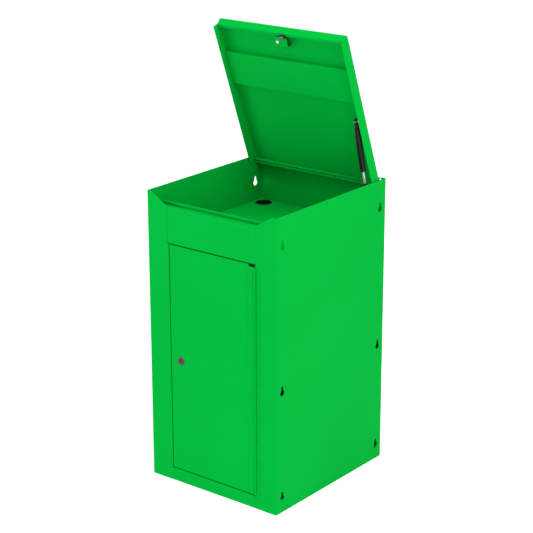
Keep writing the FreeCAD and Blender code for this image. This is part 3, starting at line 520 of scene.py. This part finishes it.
def make_lock():
    """Cam lock: domed bezel on a threaded barrel, keyed plug, hexagon nut and the cam's screw."""
    plug_middle = middle("door_lock_plug")
    face_y = corner("door_panel", 0).y
    at_lock = from_axes((plug_middle.x, face_y, plug_middle.z), *INTO_CABINET)

    housing = Shape(at_lock)
    rings = [(6.1, 15.2), (6.1, -1.0), (6.35, -1.25), (6.6, -1.3), (6.9, -1.95), (7.6, -2.18),
             (8.6, -2.2), (10.6, -2.05), (11.8, -1.7), (12.45, -1.15), (12.7, -0.5),
             (12.7, -0.15), (12.55, 0.0), (9.25, 0.0), (9.25, 1.3)]
    rings += thread_rings(9.28, 0.55, 1.6, 14.4, 1.5)
    rings += [(8.5, 15.0), (8.3, 15.2)]
    housing.polar(rings, steps=96, closed=True)
    housing.finish("lock_bezel_and_barrel", "door", "lock_metal", "door_lock_housing")

    nut = Shape(at_lock)
    bore = 9.36
    rings = [(bore, 5.4), (bore, 1.6), (bore + 0.35, 1.25), (11.0, 1.22)]
    rings += [(hexagon_reach(13.0, 11.6), 1.25), (hexagon_reach(13.0, 12.6), 1.75),
              (hexagon_reach(13.0, 13.0), 2.3), (hexagon_reach(13.0, 13.0), 4.6),
              (hexagon_reach(13.0, 12.6), 5.15), (hexagon_reach(13.0, 11.6), 5.65),
              (bore + 0.35, 5.7)]
    nut.polar(rings, steps=96, closed=True)
    nut.finish("lock_hexagon_nut", "door", SLOTS["door_lock_nut"], "door_lock_nut")

    plug = Shape(at_lock)
    keyway, mouth = rectangle_reach(4.0, 0.8), rectangle_reach(4.25, 1.05)
    square = rectangle_reach(3.96, 3.96)
    rings = [(0.0, 3.6), (rectangle_reach(3.6, 0.7), 3.6), (keyway, -1.55), (mouth, -1.85),
             (4.6, -1.9), (4.9, -2.16), (5.6, -2.2), (5.9, -2.0), (5.97, -1.6), (5.97, 14.9),
             (5.6, 15.3), (square, 15.3), (square, 17.2), (rectangle_reach(3.7, 3.7), 17.45),
             (0.0, 17.45)]
    plug.polar(rings, steps=96)
    plug.finish("lock_keyed_plug", "door_lock", "lock_metal", "door_lock_plug")

    screw = Shape(at_lock)
    rings = [(0.0, 19.6), (cross_reach(1.0, 0.3), 19.65), (cross_reach(2.3, 0.55), 20.95),
             (2.75, 20.98), (3.2, 20.75), (3.55, 20.2), (3.6, 19.4), (3.6, 18.45), (5.6, 18.42),
             (5.78, 18.25), (5.78, 17.7), (5.6, 17.52), (0.0, 17.52)]
    screw.polar(rings, steps=96)
    screw.finish("lock_cam_screw", "door_lock", SLOTS["door_lock_cam_screw"], "door_lock_cam_screw")


def make_grommet():
    """Rubber grommet: rounded lip, a step, fine mould rings in the bore, a groove for the tray."""
    at_hole = Matrix.Translation((middle("cable_grommet").x, middle("cable_grommet").y,
                                  corner("tray_floor", 1).z))
    ring = Shape(at_hole)
    profile = [(20.1, -4.2), (20.1, -2.6), (20.45, -2.3), (20.1, -2.0), (20.1, -0.6),
               (20.45, -0.3), (20.1, 0.0), (20.1, 1.3), (20.4, 2.2), (21.1, 2.8), (21.9, 3.0),
               (24.0, 3.0), (24.7, 2.85), (25.3, 2.3), (25.5, 1.8), (26.1, 1.65), (26.55, 1.35),
               (26.7, 0.9), (26.7, 0.3), (26.5, 0.02), (23.15, 0.02), (23.15, -1.22),
               (25.8, -1.25), (26.1, -1.6), (25.6, -3.4), (24.9, -4.3), (21.0, -4.4),
               (20.4, -4.36)]
    ring.polar(profile, steps=128, closed=True)
    ring.finish("cable_grommet_moulded", "cabinet", "black_rubber", "cable_grommet")


def make_bumpers():
    """Two rubber stops with a domed face and a moulded rim."""
    node = "door_bumpers"
    low, high = corner(node, 0), corner(node, 1)
    dome = [(0.0, 0.0), (4.7, 0.0), (BUMPER_RADIUS, 0.25), (BUMPER_RADIUS, 0.8), (4.7, 1.1),
            (4.4, 1.2), (4.2, 1.7), (3.7, 2.3), (2.7, 2.62), (1.4, 2.7), (0.0, 2.7)]
    stops = Shape()
    for x in (low.x + BUMPER_RADIUS, high.x - BUMPER_RADIUS):
        face = (x, high.y, middle(node).z)
        at_stop = from_axes(face, (0.0, 0.0, 1.0), (-1.0, 0.0, 0.0), (0.0, -1.0, 0.0))
        stops.polar(dome, at_stop, steps=40)
    stops.finish("door_bumper_stops", "cabinet", "black_rubber", node)


def make_gas_spring():
    """The gas spring's rolled and crimped tube, and the wiper seal that guides its rod."""
    down = Vector((0.0, math.sin(SPRING_LEAN), -math.cos(SPRING_LEAN)))
    piston = middle("gas_spring_piston")
    centre = piston + down * (middle("gas_spring_tube") - piston).dot(down)
    x_axis = Vector((1.0, 0.0, 0.0))
    half = TUBE_LENGTH / 2
    at_tube = from_axes(centre, x_axis, down.cross(x_axis), down)

    tube = Shape(at_tube)
    closed_end = [(0.0, -half), (4.9, -half), (5.6, -half + 0.2), (7.2, -half + 0.5),
                  (8.4, -half + 1.3), (9.0, -half + 2.6)]
    crimp = [(9.0, half - 9.2), (8.85, half - 8.9), (8.55, half - 8.4), (8.45, half - 7.8),
             (8.55, half - 7.2), (8.85, half - 6.7), (9.0, half - 6.4)]
    open_end = [(9.0, half - 1.6), (8.75, half - 0.7), (8.3, half - 0.15), (7.6, half),
                (7.5, half - 0.3)]
    inside = [(7.5, -half + 4.0), (0.0, -half + 4.0)]
    tube.polar(closed_end + crimp + open_end + inside, steps=72)
    tube.finish("gas_spring_crimped_tube", "gas_spring_cylinder", "black_enamel", "gas_spring_tube")

    guide = Shape(at_tube)
    rings = [(4.07, half + 3.0), (4.07, half - 7.9), (7.4, half - 7.9), (7.4, half + 0.02),
             (8.1, half + 0.05), (8.2, half + 0.9), (7.9, half + 1.6), (6.4, half + 1.9),
             (5.9, half + 2.9), (4.6, half + 3.0)]
    guide.polar(rings, steps=64, closed=True)
    guide.finish("gas_spring_wiper_seal", "gas_spring_cylinder", "black_plastic",
                 "gas_spring_rod_guide")


def make_catch():
    """Magnetic catch: ribbed moulded holder, magnet between two pole plates, screw and nut."""
    at_lid = open_lid()
    across = from_axes((0.0, 0.0, 0.0), *ACROSS_LID)

    holder = Shape(at_lid)
    body = [(-475.0, -10.8), (-449.0, -10.8), (-448.2, -10.2), (-448.2, -6.4), (-449.2, -5.5),
            (-475.0, -5.5)]
    holder.prism(soften(body, 0.6), -20.4, 13.9, across, bevel=0.35)
    rib = [(-473.5, -5.6), (-451.0, -5.6), (-451.0, -5.42), (-473.5, -5.42)]
    for x in (-5.0, -1.6, 4.2, 8.0, 11.8):
        holder.prism(rib, x, x + 1.4, across)
    nose = [(-484.0, -18.6), (-483.5, -18.9), (-482.05, -18.9), (-482.05, -12.95),
            (-477.55, -12.95), (-477.55, -18.9), (-476.2, -18.9), (-475.7, -18.4),
            (-475.7, -10.2), (-476.2, -9.75), (-483.2, -9.75), (-484.0, -10.6)]
    holder.prism(nose, 1.1, 21.4, across, bevel=0.18)
    bridge = [(-478.6, -10.4), (-474.2, -10.4), (-474.2, -5.5), (-478.0, -5.5), (-478.6, -6.1)]
    holder.prism(bridge, 1.1, 13.9, across, bevel=0.18)
    cheek = [(-482.2, -18.8), (-477.4, -18.8), (-477.4, -12.9), (-482.2, -12.9)]
    for x in (1.15, 19.6):
        holder.prism(cheek, x, x + 1.7, across)
    holder.finish("catch_moulded_holder", "lid", "black_plastic", "lid_catch_body")

    magnet = Shape(at_lid)
    for low, high, drop in ((-482.0, -480.9, 0.0), (-480.85, -478.75, 0.7), (-478.7, -477.6, 0.0)):
        plate = [(low, -18.85 + drop), (high, -18.85 + drop), (high, -13.0), (low, -13.0)]
        magnet.prism(plate, 3.1, 19.4, across, bevel=0.12)
    magnet.finish("catch_magnet_and_poles", "lid", "magnet", "lid_catch_magnet")

    at_screw = at_lid @ Matrix.Translation(CATCH_SCREW)
    screw = Shape(at_screw)
    rings = [(0.0, -0.9), (cross_reach(1.2, 0.35), -0.95), (cross_reach(2.7, 0.6), -2.33),
             (3.0, -2.38), (4.0, -2.1), (4.75, -1.5), (5.0, -0.8), (4.95, -0.05), (1.95, 0.0)]
    rings += thread_rings(1.93, 0.25, 0.3, 10.6, 0.8)
    rings += [(1.4, 11.0), (0.0, 11.0)]
    screw.polar(rings, steps=64)
    screw.finish("catch_pan_head_screw", "lid", SLOTS["lid_catch_screw"], "lid_catch_screw")

    nut = Shape(at_screw)
    nut.polar([(2.0, 9.6), (2.0, 7.0), (2.25, 6.72), (hexagon_reach(4.0, 3.6), 6.72),
               (hexagon_reach(4.0, 4.0), 7.1), (hexagon_reach(4.0, 4.0), 9.5),
               (hexagon_reach(4.0, 3.6), 9.88), (2.25, 9.88)], steps=96, closed=True)
    nut.finish("catch_hexagon_nut", "lid", SLOTS["lid_catch_nut"], "lid_catch_nut")


make_hinges()
make_lock()
make_grommet()
make_bumpers()
make_gas_spring()
make_catch()


# ---------------------------------------------------------------- stage, light and camera

WORLD_STRENGTH = 1.03
CAMERA_LENS = 114.06
CAMERA_PLACE = Vector((3.0003, -3.8153, 2.2743))
CAMERA_AIM = Vector((-0.0059, 0.0, 0.6537))
CAMERA_ROLL = math.radians(-0.107)
LIGHT_DISTANCE = 6.0
LIGHT_SIZE = 3.0
LIGHT_TARGET = Vector((0.0, 0.0, 0.6))
# name, azimuth and elevation in degrees, watts, tint
LIGHTS = (
    ("fill_left", -50.0, 8.0, 185.0, (0.86, 0.93, 1.0)),
    ("front_top", 0.0, 60.0, 50.0, (1.0, 1.0, 0.95)),
    ("top_right", 60.0, 60.0, 340.0, (1.0, 1.0, 0.95)),
    ("low_right", 72.0, 8.0, 122.0, (1.0, 0.99, 0.92)),
)


def make_floor():
    """A pale floor that runs out of sight."""
    recipe = Recipe("pale_floor", Roughness=0.85, Specular_IOR_Level=0.1)
    tone = recipe.blend(recipe.noise(1.2, 3.0), (0.93, 0.93, 0.93), (0.96, 0.96, 0.96))
    recipe.join(tone, recipe.shader.inputs["Base Color"])
    mesh = bpy.data.meshes.new("floor")
    reach = 30.0
    corners = [(-reach, -reach, 0), (reach, -reach, 0), (reach, reach, 0), (-reach, reach, 0)]
    mesh.from_pydata(corners, [], [(0, 1, 2, 3)])
    mesh.materials.append(recipe.material)
    floor = bpy.data.objects.new("floor", mesh)
    bpy.context.scene.collection.objects.link(floor)


def make_light(name, azimuth, elevation, power, tint):
    """A soft square light aimed at the middle of the cabinet."""
    data = bpy.data.lights.new(name, "AREA")
    data.shape = "SQUARE"
    data.size = LIGHT_SIZE
    data.energy = power
    data.color = tint
    light = bpy.data.objects.new(name, data)
    around, up = math.radians(azimuth), math.radians(elevation)
    flat = math.cos(up)
    offset = Vector((math.sin(around) * flat, -math.cos(around) * flat, math.sin(up)))
    light.location = LIGHT_TARGET + offset * LIGHT_DISTANCE
    light.rotation_euler = (-offset).to_track_quat("-Z", "Y").to_euler()
    bpy.context.scene.collection.objects.link(light)


def make_world():
    """A plain white backdrop that also lights the shadows."""
    world = bpy.data.worlds.new("studio")
    world.use_nodes = True
    background = world.node_tree.nodes["Background"]
    background.inputs["Color"].default_value = (1.0, 1.0, 1.0, 1.0)
    background.inputs["Strength"].default_value = WORLD_STRENGTH
    bpy.context.scene.world = world


def make_camera():
    """The camera of the main view."""
    data = bpy.data.cameras.new("camera")
    data.sensor_width = 36.0
    data.lens = CAMERA_LENS
    data.clip_end = 200.0
    camera = bpy.data.objects.new("camera", data)
    camera.location = CAMERA_PLACE
    aim = CAMERA_AIM - camera.location
    roll = Quaternion((0.0, 0.0, 1.0), CAMERA_ROLL)
    camera.rotation_euler = (aim.to_track_quat("-Z", "Y") @ roll).to_euler()
    bpy.context.scene.collection.objects.link(camera)
    bpy.context.scene.camera = camera


make_floor()
make_world()
for light_row in LIGHTS:
    make_light(*light_row)
make_camera()
bpy.context.scene.view_settings.view_transform = "Standard"
